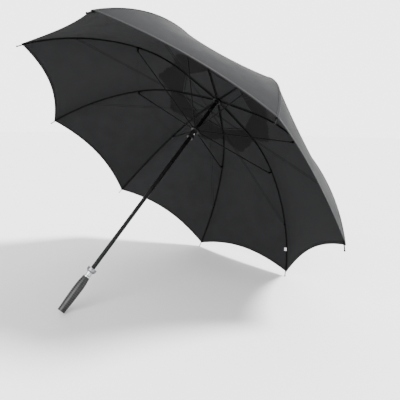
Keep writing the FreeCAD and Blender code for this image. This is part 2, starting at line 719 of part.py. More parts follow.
def skirt_shape():
    """Lower canopy from the knee to the scalloped hem, which stops short of the rib's tip."""
    end = hem("canopy_end", "hem_scallop")
    start = KNEE_PLACE + size("split_gap") / 2
    return both_halves(lambda share: (start, end(share)),
                       lambda place, share: size("lower_lift"))


def strap_shape():
    """Tie strap lying flat on the outside of the canopy beside a rib."""
    lift = size("lower_lift") + size("fabric") + size("strap_gap")
    width = size("strap_width")
    side = size("strap_side")
    corners = []
    for rise in (lift, lift + size("strap_thickness")):
        rows = []
        for i in range(8):
            place = size("strap_start") + size("strap_length") * i / 7
            radius = rib_at(place)[0].x
            chord = 2 * radius * math.sin(math.radians(STEP_ANGLE / 2))
            rows.append([panel_point(place, (side + width * j / 3) / chord, rise)
                         for j in range(4)])
        surface = Part.BSplineSurface()
        surface.interpolate(rows)
        corners.append(surface)
    faces = [surface.toShape() for surface in corners]
    for low, high in zip(border(corners[0]), border(corners[1])):
        faces.append(Part.makeRuledSurface(low, high))
    shell = Part.makeCompound(faces)
    shell.sewShape()
    return Part.makeSolid(shell.Shells[0])


def fabric_part(label, shape, azimuth):
    feature = doc.addObject("Part::Feature", label)
    feature.Shape = shape
    finish(feature, label, azimuth)


# ---- assembly ----

make_shaft()
make_grip()
make_neck_collar()
make_tip_cup()
make_notch()
make_cord_collar()
make_ferrule()
make_runner()
crown = crown_shape()
skirt = skirt_shape()
for rib in range(1, RIBS + 1):
    make_rib_inner(rib)
    make_rib_outer(rib)
    make_stretcher(rib)
    make_cord(rib)
    fabric_part(f"canopy_crown_{rib}", crown, rib_azimuth(rib))
    fabric_part(f"canopy_skirt_{rib}", skirt, rib_azimuth(rib))
fabric_part("tie_strap", strap_shape(), rib_azimuth(STRAP_RIB))

doc.recompute()
for obj in doc.Objects:
    if any(word in obj.State for word in ("Invalid", "Error")):
        raise RuntimeError(f"{obj.Label} failed: {obj.State}")
for part in subparts:
    if part.Shape.isNull() or not part.Shape.isValid():
        raise RuntimeError(f"{part.Label} has no valid shape")

os.makedirs("parts", exist_ok=True)
for part in subparts:
    part.Shape.exportStep(f"parts/{part.Label}.step")
print(len(subparts), "sub-parts written")
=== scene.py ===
"""A double-canopy golf umbrella, open and lying on its rim and its grip, dressed for rendering.

The shaft frame used here has its origin at the grip's flat end and +Z towards the ferrule. Each rib has
its own turn of that frame, with x out along the rib, y round the shaft and z along it. All in metres.
"""
import json
import math

import bmesh
import bpy
import numpy as np
from mathutils import Matrix, Vector


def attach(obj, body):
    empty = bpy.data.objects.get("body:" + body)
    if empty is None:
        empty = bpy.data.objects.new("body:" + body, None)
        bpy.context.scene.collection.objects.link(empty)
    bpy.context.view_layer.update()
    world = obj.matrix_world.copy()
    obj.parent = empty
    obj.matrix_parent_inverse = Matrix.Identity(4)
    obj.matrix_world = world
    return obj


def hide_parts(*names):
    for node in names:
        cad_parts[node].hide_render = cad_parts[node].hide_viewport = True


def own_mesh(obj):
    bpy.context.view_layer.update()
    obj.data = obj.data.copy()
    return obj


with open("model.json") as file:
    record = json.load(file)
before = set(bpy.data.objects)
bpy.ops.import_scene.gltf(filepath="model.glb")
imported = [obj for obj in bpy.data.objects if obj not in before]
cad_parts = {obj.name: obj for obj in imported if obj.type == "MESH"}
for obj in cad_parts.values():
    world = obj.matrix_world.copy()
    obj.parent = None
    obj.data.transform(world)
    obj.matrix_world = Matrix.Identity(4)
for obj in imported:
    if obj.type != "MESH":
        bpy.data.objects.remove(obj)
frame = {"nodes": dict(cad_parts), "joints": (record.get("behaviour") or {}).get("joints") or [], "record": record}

RECORD = frame["record"]
JOINTS = {joint["name"]: joint for joint in frame["joints"]}
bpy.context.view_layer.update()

RIBS = 8
STEP = 2 * math.pi / RIBS
MAIN_JOINT = "canopy_fold"

# ---- the ribs' line, as the CAD model has it, and the canopy's cut ----

# A place is a length along a rib from its hinge at the notch, and a lift is a distance out from the
# rib's centre line.

RIB_STRAIGHT = 0.150
RIB_SLOPE = math.radians(4.0)
INNER_BEND_LENGTH = 0.195
INNER_BEND = math.radians(26.0)
OUTER_LENGTH = 0.412
OUTER_BEND = math.radians(34.4)
KNEE_PLACE = RIB_STRAIGHT + INNER_BEND_LENGTH
KNEE_SLOPE = RIB_SLOPE + INNER_BEND

FABRIC = 0.0005
LOWER_LIFT = 0.0040 + FABRIC / 2
UPPER_LIFT = 0.0051 + FABRIC / 2
# at mid panel the upper canopy stands this much higher at its hem, and all fabric sags this much
UPPER_RISE = 0.006
SADDLE = 0.012
EYELET_PLACE = -0.0035
UPPER_HEM = 0.200
UPPER_POINT = 0.062
VENT_EDGE = 0.139
CANOPY_END = 0.741
HEM_SCALLOP = 0.040
HEM_WIDTH = 0.009
UPPER_HEM_WIDTH = 0.007
VENT_HEM_WIDTH = 0.006
UNDERLAP = 0.022
UNDERLAP_EASE = 0.3 * UNDERLAP
UNDERLAP_DROP = 0.0008

# steps along the rib and across half a panel
UPPER_COUNTS = (26, 12)
LOWER_COUNTS = (32, 12)
OUTER_COUNTS = (48, 14)
HEM_COLUMNS = 28

SEAM_WIDTH = 0.009
SEAM_START = 0.016
SEAM_STEP = 0.010
SEAM_LIFT = 0.0003
# place across as a share of the width, and rise over the cloth
SEAM_SECTION = [(-0.5, 0.0), (-0.42, 0.0006), (-0.2, 0.0009), (0.2, 0.0009), (0.42, 0.0006), (0.5, 0.0)]

CORD_RADIUS = 0.0006
CORD_HINGE_RADIUS = 0.010
CORD_HEIGHT = 0.862
CORD_SPREAD = 0.003
CORD_END_SPREAD = 0.005
# a strand stops this far short of its bead
CORD_STOP = 0.0053
CORD_STEPS = 40
CORD_SIDES = 10
CORD_FLAT_STEP = 0.01
BEAD_PLACE = 0.216
BEAD_DROP = 0.0012

STRAP_RIB = 5
STRAP_START = 0.560
STRAP_LENGTH = 0.150
STRAP_WIDTH = 0.018
STRAP_SIDE = 0.012
STRAP_STITCH_MARGIN = 0.0012
TAPE_RISE = 0.0011
TAPE_THICKNESS = 0.0011
TAPE_EDGE = 0.0006
TAPE_UNDERSIDE = 0.0001
TAPE_STEP = 0.004
PATCH_START_FROM_END = 0.048
PATCH_STOP_FROM_END = 0.004
PATCH_MARGIN = 0.002
PATCH_RISE = 0.0023
PATCH_THICKNESS = 0.0008

LABEL_RIB = 2
LABEL_PLACE = 0.656
LABEL_HALF = 0.007
LABEL_WIDTH = 0.012
LABEL_STEPS = 8
LABEL_DROP = 0.0034
LABEL_SAG = 0.0035
LABEL_THICKNESS = 0.0004

# where the middle of a panel would go when the umbrella closes, as shares of its open radius:
# out from its rib, and across from it; the fold is worked out from these but not applied
INNER_FOLD = (0.03, 0.07)
UPPER_FOLD = (0.05, 0.135)
OUTER_FOLD = (0.03, 0.06)


def direction(slope):
    return np.array([math.cos(slope), 0.0, -math.sin(slope)])


def outward(slope):
    return np.array([math.sin(slope), 0.0, math.cos(slope)])


def arc_point(start, slope, radius, turned):
    """End of an arc that leaves start at a slope and bends down by turned."""
    return start - outward(slope) * radius + outward(slope + turned) * radius


def about_shaft(angle):
    c, s = math.cos(angle), math.sin(angle)
    return np.array([[c, -s, 0.0], [s, c, 0.0], [0.0, 0.0, 1.0]])


# ---- the shaft's and the ribs' frames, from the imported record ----

GRIP_END = next(mount for mount in RECORD["mounts"] if mount["name"] == "grip_end")
SHAFT_FOOT = np.array(GRIP_END["pos_m"])
SHAFT_AXIS = -np.array(GRIP_END["axis"])


def fold_joint(rib):
    return JOINTS[MAIN_JOINT if rib == 1 else f"rib_fold_{rib}"]


def rib_axes(rib):
    """Columns: out along the rib, round the shaft and along the shaft."""
    side = np.array(fold_joint(rib)["axis"])
    side = side / np.linalg.norm(side)
    return np.column_stack([np.cross(side, SHAFT_AXIS), side, SHAFT_AXIS])


def in_rib_frame(rib, point):
    """A point of the shared frame, in a rib's turn of the shaft frame."""
    return (np.array(point) - SHAFT_FOOT) @ rib_axes(rib)


def in_shared_frame(rib, points):
    """Points given in a rib's turn of the shaft frame, in the shared frame."""
    return np.asarray(points) @ rib_axes(rib).T + SHAFT_FOOT


HINGE = in_rib_frame(1, fold_joint(1)["pos_m"])
BEND_START = HINGE + direction(RIB_SLOPE) * RIB_STRAIGHT
INNER_RADIUS = INNER_BEND_LENGTH / INNER_BEND
KNEE = arc_point(BEND_START, RIB_SLOPE, INNER_RADIUS, INNER_BEND)
OUTER_RADIUS = OUTER_LENGTH / OUTER_BEND
TIP = arc_point(KNEE, KNEE_SLOPE, OUTER_RADIUS, OUTER_BEND)


def rib_at(place):
    """Point and slope of a rib's centre line, by the length along it from the notch."""
    if place <= RIB_STRAIGHT:
        return HINGE + direction(RIB_SLOPE) * place, RIB_SLOPE
    if place <= KNEE_PLACE:
        turned = (place - RIB_STRAIGHT) / INNER_RADIUS
        return arc_point(BEND_START, RIB_SLOPE, INNER_RADIUS, turned), RIB_SLOPE + turned
    turned = (place - KNEE_PLACE) / OUTER_RADIUS
    return arc_point(KNEE, KNEE_SLOPE, OUTER_RADIUS, turned), KNEE_SLOPE + turned


def panel_point(place, share, lift):
    """Point of the fabric in its rib's frame; share is 0 at the rib and 0.5 at mid panel."""
    point, slope = rib_at(max(place, 0.0))
    radius = point[0] + min(place, 0.0)
    x = radius * (1 - share + share * math.cos(STEP))
    y = radius * share * math.sin(STEP)
    across = 4 * share * (1 - share)
    sag = SADDLE * across * math.sin(math.pi * max(place / CANOPY_END, 0.0)) ** 2
    normal = about_shaft(math.atan2(y, x)) @ outward(slope if place > 0 else 0.0)
    return np.array([x, y, point[2]]) + normal * (lift - sag)


def chord_at(place):
    """Straight distance between two neighbouring ribs."""
    return 2 * rib_at(max(place, 0.0))[0][0] * math.sin(STEP / 2)


def upper_lift(place, share):
    reach = max(place, 0.0) / (UPPER_HEM + UPPER_POINT)
    return UPPER_LIFT + UPPER_RISE * 4 * share * (1 - share) * reach ** 2


def lower_lift(place, share):
    return LOWER_LIFT


def underlap_lift(place, share):
    """Lift of the lower canopy's inner part, which dips under the outer part past the bracket."""
    return LOWER_LIFT - UNDERLAP_DROP * min(max(place - KNEE_PLACE, 0.0) / UNDERLAP_EASE, 1.0)


def upper_edge(share):
    return UPPER_HEM + UPPER_POINT * 2 * share


def vent_edge(share):
    return VENT_EDGE


def canopy_edge(share):
    return CANOPY_END - HEM_SCALLOP * 4 * share * (1 - share)


# ---- materials ----

class Shader:
    """A Principled material and short ways to add the nodes that give it detail."""

    def __init__(self, name, **sockets):
        self.material = bpy.data.materials.new(name)
        self.material.use_nodes = True
        self.tree = self.material.node_tree
        self.principled = self.tree.nodes["Principled BSDF"]
        for socket, value in sockets.items():
            self.principled.inputs[socket.replace("_", " ")].default_value = value
        coordinates = self.tree.nodes.new("ShaderNodeTexCoord")
        self.object_space = coordinates.outputs["Object"]
        self.cloth_space = coordinates.outputs["UV"]

    def link(self, source, target):
        self.tree.links.new(source, target)

    def scaled(self, space, scale):
        mapping = self.tree.nodes.new("ShaderNodeMapping")
        mapping.inputs["Scale"].default_value = scale
        self.link(space, mapping.inputs["Vector"])
        return mapping.outputs["Vector"]

    def noise(self, space, scale, detail=3.0):
        node = self.tree.nodes.new("ShaderNodeTexNoise")
        node.inputs["Scale"].default_value = scale
        node.inputs["Detail"].default_value = detail
        self.link(space, node.inputs["Vector"])
        return node.outputs["Fac"]

    def wave(self, space, scale, across="X", distortion=0.0):
        node = self.tree.nodes.new("ShaderNodeTexWave")
        node.bands_direction = across
        node.inputs["Scale"].default_value = scale
        node.inputs["Distortion"].default_value = distortion
        self.link(space, node.inputs["Vector"])
        return node.outputs["Fac"]

    def voronoi(self, space, scale):
        node = self.tree.nodes.new("ShaderNodeTexVoronoi")
        node.inputs["Scale"].default_value = scale
        self.link(space, node.inputs["Vector"])
        return node.outputs["Distance"]

    def maths(self, operation, first, second):
        node = self.tree.nodes.new("ShaderNodeMath")
        node.operation = operation
        for socket, value in zip(node.inputs, (first, second)):
            if isinstance(value, (int, float)):
                socket.default_value = value
            else:
                self.link(value, socket)
        return node.outputs["Value"]

    def spread(self, factor, low, high, start=0.0, end=1.0):
        """factor from start to end, taken to a value from low to high."""
        node = self.tree.nodes.new("ShaderNodeMapRange")
        node.inputs["From Min"].default_value = start
        node.inputs["From Max"].default_value = end
        node.inputs["To Min"].default_value = low
        node.inputs["To Max"].default_value = high
        self.link(factor, node.inputs["Value"])
        return node.outputs["Result"]

    def ramp(self, factor, *stops):
        node = self.tree.nodes.new("ShaderNodeValToRGB")
        elements = node.color_ramp.elements
        for element, (position, colour) in zip(elements, (stops[0], stops[-1])):
            element.position = position
            element.color = (*colour, 1.0)
        for position, colour in stops[1:-1]:
            elements.new(position).color = (*colour, 1.0)
        self.link(factor, node.inputs["Fac"])
        return node.outputs["Color"]

    def mixed(self, factor, first, second):
        node = self.tree.nodes.new("ShaderNodeMix")
        node.data_type = "RGBA"
        self.link(factor, node.inputs["Factor"])
        for name, value in (("A", first), ("B", second)):
            socket = next(s for s in node.inputs if s.name == name and s.type == "RGBA")
            if isinstance(value, tuple):
                socket.default_value = (*value, 1.0)
            else:
                self.link(value, socket)
        return next(s for s in node.outputs if s.type == "RGBA")

    def colour(self, source):
        self.link(source, self.principled.inputs["Base Color"])

    def roughness(self, source):
        self.link(source, self.principled.inputs["Roughness"])

    def bump(self, height, distance, strength=1.0):
        """Adds a bump on top of the ones already there."""
        node = self.tree.nodes.new("ShaderNodeBump")
        node.inputs["Distance"].default_value = distance
        node.inputs["Strength"].default_value = strength
        self.link(height, node.inputs["Height"])
        normal = self.principled.inputs["Normal"]
        if normal.is_linked:
            self.link(normal.links[0].from_socket, node.inputs["Normal"])
        self.link(node.outputs["Normal"], normal)


def pongee(name, dark, light, folds=0.0012):
    """Closely woven polyester: a fine weave, slubs, a soft sheen and faint folds along the ribs."""
    cloth = Shader(name, Sheen_Weight=0.014, Sheen_Roughness=0.45, Specular_IOR_Level=0.034)
    warp = cloth.wave(cloth.cloth_space, 420.0, "X")
    weft = cloth.wave(cloth.cloth_space, 420.0, "Y")
    weave = cloth.maths("MULTIPLY", warp, weft)
    slub = cloth.noise(cloth.scaled(cloth.cloth_space, (900.0, 60.0, 1.0)), 1.0, 2.0)
    cloud = cloth.noise(cloth.cloth_space, 14.0, 4.0)
    tone = cloth.maths("ADD", cloth.maths("MULTIPLY", slub, 0.4), cloth.maths("MULTIPLY", cloud, 0.6))
    cloth.colour(cloth.ramp(tone, (0.3, dark), (0.7, light)))
    cloth.roughness(cloth.spread(cloud, 0.52, 0.66, 0.3, 0.7))
    cloth.bump(cloth.noise(cloth.scaled(cloth.cloth_space, (26.0, 3.5, 1.0)), 1.0, 2.0), folds, 0.5)
    cloth.bump(weave, 0.00008, 0.35)
    return cloth


def stitched(cloth, rows, pitch=0.0032, width=0.0005, thread_share=0.72, colour=(0.034, 0.034, 0.037)):
    """Rows of lockstitch; u runs along the seam and each row lies at its own v."""
    parts = cloth.tree.nodes.new("ShaderNodeSeparateXYZ")
    cloth.link(cloth.cloth_space, parts.inputs["Vector"])
    along = cloth.maths("FRACT", cloth.maths("DIVIDE", parts.outputs["X"], pitch), 0.0)
    thread = cloth.maths("LESS_THAN", along, thread_share)
    near = None
    for row in rows:
        apart = cloth.maths("ABSOLUTE", cloth.maths("SUBTRACT", parts.outputs["Y"], row), 0.0)
        here = cloth.maths("LESS_THAN", apart, width)
        near = here if near is None else cloth.maths("MAXIMUM", near, here)
    stitch = cloth.maths("MULTIPLY", near, thread)
    base = cloth.principled.inputs["Base Color"].links[0].from_socket
    cloth.colour(cloth.mixed(stitch, base, colour))
    cloth.bump(cloth.maths("SUBTRACT", stitch, near), 0.0004, 0.8)
    return cloth


def moulded(name, dark, light, low, high, grain=900.0, **sockets):
    """Moulded plastic or rubber: a fine pebble, cloudy gloss and handling marks."""
    plastic = Shader(name, **sockets)
    cloud = plastic.noise(plastic.object_space, 35.0, 4.0)
    plastic.colour(plastic.ramp(cloud, (0.3, dark), (0.7, light)))
    wear = plastic.noise(plastic.object_space, 90.0, 5.0)
    plastic.roughness(plastic.spread(wear, low, high, 0.3, 0.7))
    plastic.bump(plastic.noise(plastic.object_space, grain, 2.0), 0.00012, 0.5)
    return plastic


def painted(name, dark, light, low, high, **sockets):
    """Gloss coat over a smooth rod or tube: an even colour, with fine rub marks in the gloss."""
    paint = Shader(name, **sockets)
    marks = paint.noise(paint.scaled(paint.object_space, (160.0, 40.0, 40.0)), 1.0, 6.0)
    paint.colour(paint.ramp(paint.noise(paint.object_space, 12.0, 3.0), (0.3, dark), (0.7, light)))
    paint.roughness(paint.spread(marks, low, high, 0.35, 0.75))
    paint.bump(paint.noise(paint.object_space, 220.0, 2.0), 0.00004, 0.4)
    return paint


def plated(name, dark, light, low, high, **sockets):
    """Polished or brushed metal with turning marks and finger smears."""
    metal = Shader(name, Metallic=1.0, **sockets)
    smear = metal.noise(metal.object_space, 60.0, 4.0)
    metal.colour(metal.ramp(smear, (0.3, dark), (0.7, light)))
    metal.roughness(metal.spread(smear, low, high, 0.3, 0.7))
    metal.bump(metal.noise(metal.object_space, 1400.0, 2.0), 0.00002, 0.4)
    return metal


def braided(name):
    """Thin cord with a crossed braid."""
    cord = Shader(name, Sheen_Weight=0.03, Specular_IOR_Level=0.03)
    braid = cord.maths("MULTIPLY", cord.wave(cord.object_space, 700.0, "DIAGONAL"),
                       cord.wave(cord.object_space, 560.0, "Z"))
    cord.colour(cord.ramp(braid, (0.2, (0.0046, 0.0046, 0.0049)), (0.8, (0.0097, 0.0097, 0.0103))))
    cord.roughness(cord.spread(braid, 0.55, 0.8))
    cord.bump(braid, 0.0002, 0.7)
    return cord


def webbing(name):
    """Narrow woven tape with a ribbed face."""
    tape = Shader(name, Sheen_Weight=0.06, Specular_IOR_Level=0.28)
    ribs = tape.wave(tape.cloth_space, 260.0, "X")
    fuzz = tape.noise(tape.cloth_space, 900.0, 3.0)
    tape.colour(tape.ramp(fuzz, (0.3, (0.0086, 0.0086, 0.0092)), (0.7, (0.0160, 0.0160, 0.0171))))
    tape.roughness(tape.spread(fuzz, 0.6, 0.85))
    tape.bump(ribs, 0.0003, 0.6)
    return tape


def hook_tape(name):
    """The rough half of a hook-and-loop fastener."""
    hooks = Shader(name, Sheen_Weight=0.03, Specular_IOR_Level=0.28)
    cells = hooks.voronoi(hooks.cloth_space, 1100.0)
    hooks.colour(hooks.ramp(cells, (0.1, (0.0171, 0.0171, 0.0186)), (0.6, (0.0057, 0.0057, 0.0063))))
    hooks.roughness(hooks.spread(cells, 0.5, 0.85))
    hooks.bump(cells, 0.0006, 0.9)
    return hooks


def satin_label(name):
    """Blank woven label: white satin with a fine rib."""
    satin = Shader(name, Sheen_Weight=0.1, Specular_IOR_Level=0.2)
    thread = satin.wave(satin.cloth_space, 500.0, "Y", 1.0)
    satin.colour(satin.ramp(thread, (0.0, (0.74, 0.74, 0.74)), (1.0, (0.88, 0.88, 0.87))))
    satin.roughness(satin.spread(thread, 0.4, 0.6))
    satin.bump(thread, 0.0001, 0.5)
    return satin


PONGEE_DARK, PONGEE_LIGHT = (0.0143, 0.0146, 0.0152), (0.0200, 0.0203, 0.0212)
# a darker copy of the pongee: painted shade for places where two layers of cloth let less light through, seen from
# inside
PAINTED_SHADE_DARK, PAINTED_SHADE_LIGHT = (0.0069, 0.0069, 0.0072), (0.0097, 0.0097, 0.0103)

FABRIC_MATERIAL = pongee("black_pongee", PONGEE_DARK, PONGEE_LIGHT).material
PAINTED_SHADE_MATERIAL = pongee("black_pongee_painted_shade", PAINTED_SHADE_DARK, PAINTED_SHADE_LIGHT).material
HEM_MATERIAL = stitched(pongee("black_pongee_hem", PONGEE_DARK, PONGEE_LIGHT, 0.0006),
                        [HEM_WIDTH * 0.8]).material
SEAM_MATERIAL = stitched(pongee("black_pongee_seam", PONGEE_DARK, PONGEE_LIGHT, 0.0006),
                         [SEAM_WIDTH * 0.14, SEAM_WIDTH * 0.86]).material
STRAP_MATERIAL = webbing("black_webbing").material
STRAP_EDGE_MATERIAL = stitched(webbing("black_webbing_stitched"),
                               [STRAP_STITCH_MARGIN, STRAP_WIDTH - STRAP_STITCH_MARGIN]).material
HOOK_MATERIAL = hook_tape("black_hook_tape").material
LABEL_MATERIAL = satin_label("white_satin").material

SLOT_MATERIALS = {
    "fabric": FABRIC_MATERIAL,
    "strap": STRAP_MATERIAL,
    "cord": braided("black_braid").material,
    "fibreglass": painted("black_fibreglass", (0.0023, 0.0023, 0.0026), (0.0040, 0.0040, 0.0043),
                          0.28, 0.45, Specular_IOR_Level=0.057).material,
    "black_steel": painted("black_painted_steel", (0.0026, 0.0026, 0.0029), (0.0046, 0.0046, 0.0049),
                           0.22, 0.38, Specular_IOR_Level=0.17).material,
    "wire": plated("spring_wire", (0.04, 0.04, 0.0415), (0.069, 0.069, 0.0715), 0.25, 0.4).material,
    "rubber": moulded("black_rubber", (0.0046, 0.0046, 0.0049), (0.0086, 0.0086, 0.0092),
                      0.24, 0.42, 700.0, Specular_IOR_Level=0.6).material,
    "chrome": plated("chrome", (0.46, 0.463, 0.477), (0.66, 0.665, 0.68), 0.12, 0.26).material,
    "dark_chrome": plated("dark_chrome", (0.17, 0.177, 0.189), (0.29, 0.292, 0.306),
                          0.18, 0.34).material,
    "ferrule": plated("bronzed_ferrule", (0.069, 0.046, 0.031), (0.12, 0.08, 0.057), 0.3, 0.48).material,
    "black_plastic": moulded("black_nylon", (0.0034, 0.0034, 0.0037), (0.0063, 0.0063, 0.0066),
                             0.35, 0.5, 1100.0, Specular_IOR_Level=0.28).material,
}


def dress_cad_nodes():
    for part in RECORD["subparts"]:
        node = frame["nodes"][part["node"]]
        node.data.materials.clear()
        node.data.materials.append(SLOT_MATERIALS[part["material_slot"]])


# ---- sheets of fabric ----

def grid_object(name, rows, cloth, materials, chosen=None, tube=False):
    """A smooth sheet through rows of points; cloth holds the same rows laid flat, in metres.

    In a tube the last column is the first one again, and its two ends are closed.
    """
    rows, cloth = np.asarray(rows), np.asarray(cloth)
    high, wide = rows.shape[:2]
    corners = [(i * wide + j, i * wide + j + 1, (i + 1) * wide + j + 1, (i + 1) * wide + j)
               for i in range(high - 1) for j in range(wide - 1)]
    mesh = bpy.data.meshes.new(name)
    mesh.from_pydata(rows.reshape(-1, 3).tolist(), [], corners)
    flat = cloth.reshape(-1, 2)
    uv = mesh.uv_layers.new(name="cloth")
    uv.data.foreach_set("uv", flat[np.array(corners).ravel()].astype(np.float32).ravel())
    mesh.polygons.foreach_set("use_smooth", [True] * len(corners))
    for material in materials:
        mesh.materials.append(material)
    if chosen is not None:
        mesh.polygons.foreach_set("material_index", chosen)
    if tube:
        close_tube(mesh)
    mesh.update()
    obj = bpy.data.objects.new(name, mesh)
    bpy.context.scene.collection.objects.link(obj)
    return obj


def close_tube(mesh):
    shape = bmesh.new()
    shape.from_mesh(mesh)
    bmesh.ops.remove_doubles(shape, verts=shape.verts, dist=1e-6)
    ends = [edge for edge in shape.edges if edge.is_boundary]
    bmesh.ops.holes_fill(shape, edges=ends)
    bmesh.ops.recalc_face_normals(shape, faces=shape.faces)
    shape.to_mesh(mesh)
    shape.free()


def half_panel_rows(places, lift, side, counts):
    """Points and flat places of half a panel in its rib's frame, on one side of the rib."""
    rows, cloth = [], []
    for i in range(counts[0] + 1):
        row, flat = [], []
        for j in range(counts[1] + 1):
            share = 0.5 * j / counts[1]
            start, end = places(share)
            place = start + (end - start) * i / counts[0]
            point = panel_point(place, share, lift(place, share))
            row.append(point * (1, side, 1))
            flat.append((side * share * chord_at(place), place))
        rows.append(row)
        cloth.append(flat)
    return np.array(rows), np.array(cloth)


def faces_outward(rows, cloth, side):
    """Turns the rows of the other side round, so that every sheet's normals point out."""
    return (rows, cloth) if side < 0 else (rows[:, ::-1], cloth[:, ::-1])


def fold_terms(start, end, fold):
    """Axis and keep of the squash that closes half a panel beside the rib's chord from start to end."""
    chord = (end - start) / np.linalg.norm(end - start)
    normal = np.array([-chord[2], 0.0, chord[0]])
    middle = np.array([(math.cos(STEP) - 1) / 2, math.sin(STEP) / 2, 0.0])
    now = np.array([middle @ normal, middle[1]])
    moved = now - np.array(fold)
    axis = moved / np.linalg.norm(moved)
    keep = 1 - np.linalg.norm(moved) / (now @ axis)
    return axis[0] * normal + np.array([0.0, axis[1], 0.0]), keep


def fold_with_ribs(obj, rib, side, start, end, fold):
    """Gives a sheet its own mesh; the squash that would flatten it towards its rib as the umbrella closes is
    worked out but not applied.
    """
    axis, keep = fold_terms(start, end, fold)
    axis = rib_axes(rib) @ (axis * (1, side, 1))
    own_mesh(obj)


def sheet_object(name, rib, side, rows, cloth, materials, chosen=None):
    """A sheet whose rows and flat places are given in its rib's frame, with its normals turned out."""
    rows, cloth = faces_outward(rows, cloth, side)
    return grid_object(name, in_shared_frame(rib, rows), cloth, materials, chosen)


def fold_inner(obj, rib, side, fold=INNER_FOLD):
    fold_with_ribs(obj, rib, side, HINGE, KNEE, fold)


def fold_outer(obj, rib, side):
    fold_with_ribs(obj, rib, side, KNEE, TIP, OUTER_FOLD)


def edge_band(name, rib, side, edge, lift, width, inwards):
    """Folded hem along a free edge: a flat tube of cloth that runs back from the edge.

    inwards is -1 where the cloth lies nearer the ferrule than the edge, and 1 beyond the vent.
    """
    outside = [(0.0003, 0.0007), (0.3 * width, 0.0009), (width, 0.0006)]
    inside = [(back, -rise) for back, rise in reversed(outside)]
    section = [(0.0, 0.0), *outside, *inside, (0.0, 0.0)]
    rows, cloth = [], []
    length = 0.0
    previous = None
    for j in range(HEM_COLUMNS + 1):
        share = 0.5 * j / HEM_COLUMNS
        row = []
        for back, rise in section:
            place = edge(share) + back * inwards
            row.append(panel_point(place, share, lift(place, share) + rise) * (1, side, 1))
        if previous is not None:
            length += float(np.linalg.norm(row[0] - previous))
        previous = row[0]
        rows.append(row)
        cloth.append([(length, back) for back, _ in section])
    rows, cloth = faces_outward(np.array(rows), np.array(cloth), side)
    obj = grid_object(name, in_shared_frame(rib, rows), cloth, [HEM_MATERIAL], tube=True)
    return obj


def make_upper(rib, side, tag):
    def places(share):
        return EYELET_PLACE, upper_edge(share)

    rows, cloth = half_panel_rows(places, upper_lift, side, UPPER_COUNTS)
    obj = sheet_object(f"canopy_upper_{rib}_{tag}", rib, side, rows, cloth, [FABRIC_MATERIAL])
    hem = edge_band(f"upper_hem_{rib}_{tag}", rib, side, upper_edge, upper_lift, UPPER_HEM_WIDTH, -1)
    for piece in (obj, hem):
        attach(piece, f"rib_inner_{rib}")
        fold_inner(piece, rib, side, UPPER_FOLD)
    return obj


def make_lower(rib, side, tag):
    """Lower canopy's inner part; where the upper canopy lies behind it, its inside takes painted shade, a darker
    cloth for the light that two layers hold back.

    At mid panel it runs on a little under the outer part, so that none shows between them when closed.
    """
    def places(share):
        return vent_edge(share), KNEE_PLACE + UNDERLAP * (2 * share) ** 2

    high, wide = LOWER_COUNTS
    rows, cloth = half_panel_rows(places, underlap_lift, side, LOWER_COUNTS)
    # chosen marks the faces with the upper canopy behind them, which take the painted-shade cloth
    chosen = []
    for i in range(high):
        for j in range(wide):
            share = 0.5 * (j + 0.5) / wide
            start, end = places(share)
            place = start + (end - start) * (i + 0.5) / high
            chosen.append(1 if place < upper_edge(share) else 0)
    chosen = np.array(chosen).reshape(high, wide)
    if side > 0:
        chosen = chosen[:, ::-1]
    obj = sheet_object(f"canopy_lower_{rib}_{tag}", rib, side, rows, cloth,
                       [FABRIC_MATERIAL, PAINTED_SHADE_MATERIAL], chosen.ravel().tolist())
    hem = edge_band(f"vent_hem_{rib}_{tag}", rib, side, vent_edge, lower_lift, VENT_HEM_WIDTH, 1)
    for piece in (obj, hem):
        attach(piece, f"rib_inner_{rib}")
        fold_inner(piece, rib, side)


def make_outer(rib, side, tag):
    def places(share):
        return KNEE_PLACE, canopy_edge(share)

    rows, cloth = half_panel_rows(places, lower_lift, side, OUTER_COUNTS)
    obj = sheet_object(f"canopy_outer_{rib}_{tag}", rib, side, rows, cloth, [FABRIC_MATERIAL])
    hem = edge_band(f"hem_{rib}_{tag}", rib, side, canopy_edge, lower_lift, HEM_WIDTH, -1)
    for piece in (obj, hem):
        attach(piece, f"rib_outer_{rib}")
        fold_outer(piece, rib, side)
    return obj


def make_seam(name, rib, body, start, end, lift, face, material):
    """Felled seam along a rib, as a low rounded tape; face is 1 outside the canopy and -1 inside."""
    count = round((end - start) / SEAM_STEP)
    rows, cloth = [], []
    for i in range(count + 1):
        place = start + (end - start) * i / count
        row = []
        for across, rise in SEAM_SECTION:
            share = min(abs(across) * SEAM_WIDTH / chord_at(place), 0.5)
            point = panel_point(place, share, lift(place, share) + face * (rise + SEAM_LIFT))
            row.append(point * (1, math.copysign(1.0, across), 1))
        rows.append(row)
        cloth.append([(place, (across + 0.5) * SEAM_WIDTH) for across, _ in SEAM_SECTION])
    obj = grid_object(name, in_shared_frame(rib, rows), np.array(cloth), [material])
    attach(obj, body)
    return obj


def make_canopy():
    for rib in range(1, RIBS + 1):
        for side, tag in ((-1, "a"), (1, "b")):
            upper = make_upper(rib, side, tag)
            make_lower(rib, side, tag)
            outer = make_outer(rib, side, tag)
            if side < 0:
                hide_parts(f"canopy_crown_{rib}")
                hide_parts(f"canopy_skirt_{rib}")
        inner, outer = f"rib_inner_{rib}", f"rib_outer_{rib}"
        # outside, the seam is plain cloth; inside, it takes painted shade, a darker strip along each rib for the
        # light the folded seam holds back
        for tag, face, material in (("", 1, SEAM_MATERIAL), ("_inside", -1, PAINTED_SHADE_MATERIAL)):
            make_seam(f"seam_upper{tag}_{rib}", rib, inner, SEAM_START, UPPER_HEM, upper_lift,
                      face, material)
            make_seam(f"seam_lower{tag}_{rib}", rib, inner, VENT_EDGE, KNEE_PLACE, lower_lift,
                      face, material)
            make_seam(f"seam_outer{tag}_{rib}", rib, outer, KNEE_PLACE, CANOPY_END, lower_lift,
                      face, material)


# ---- tension cords ----

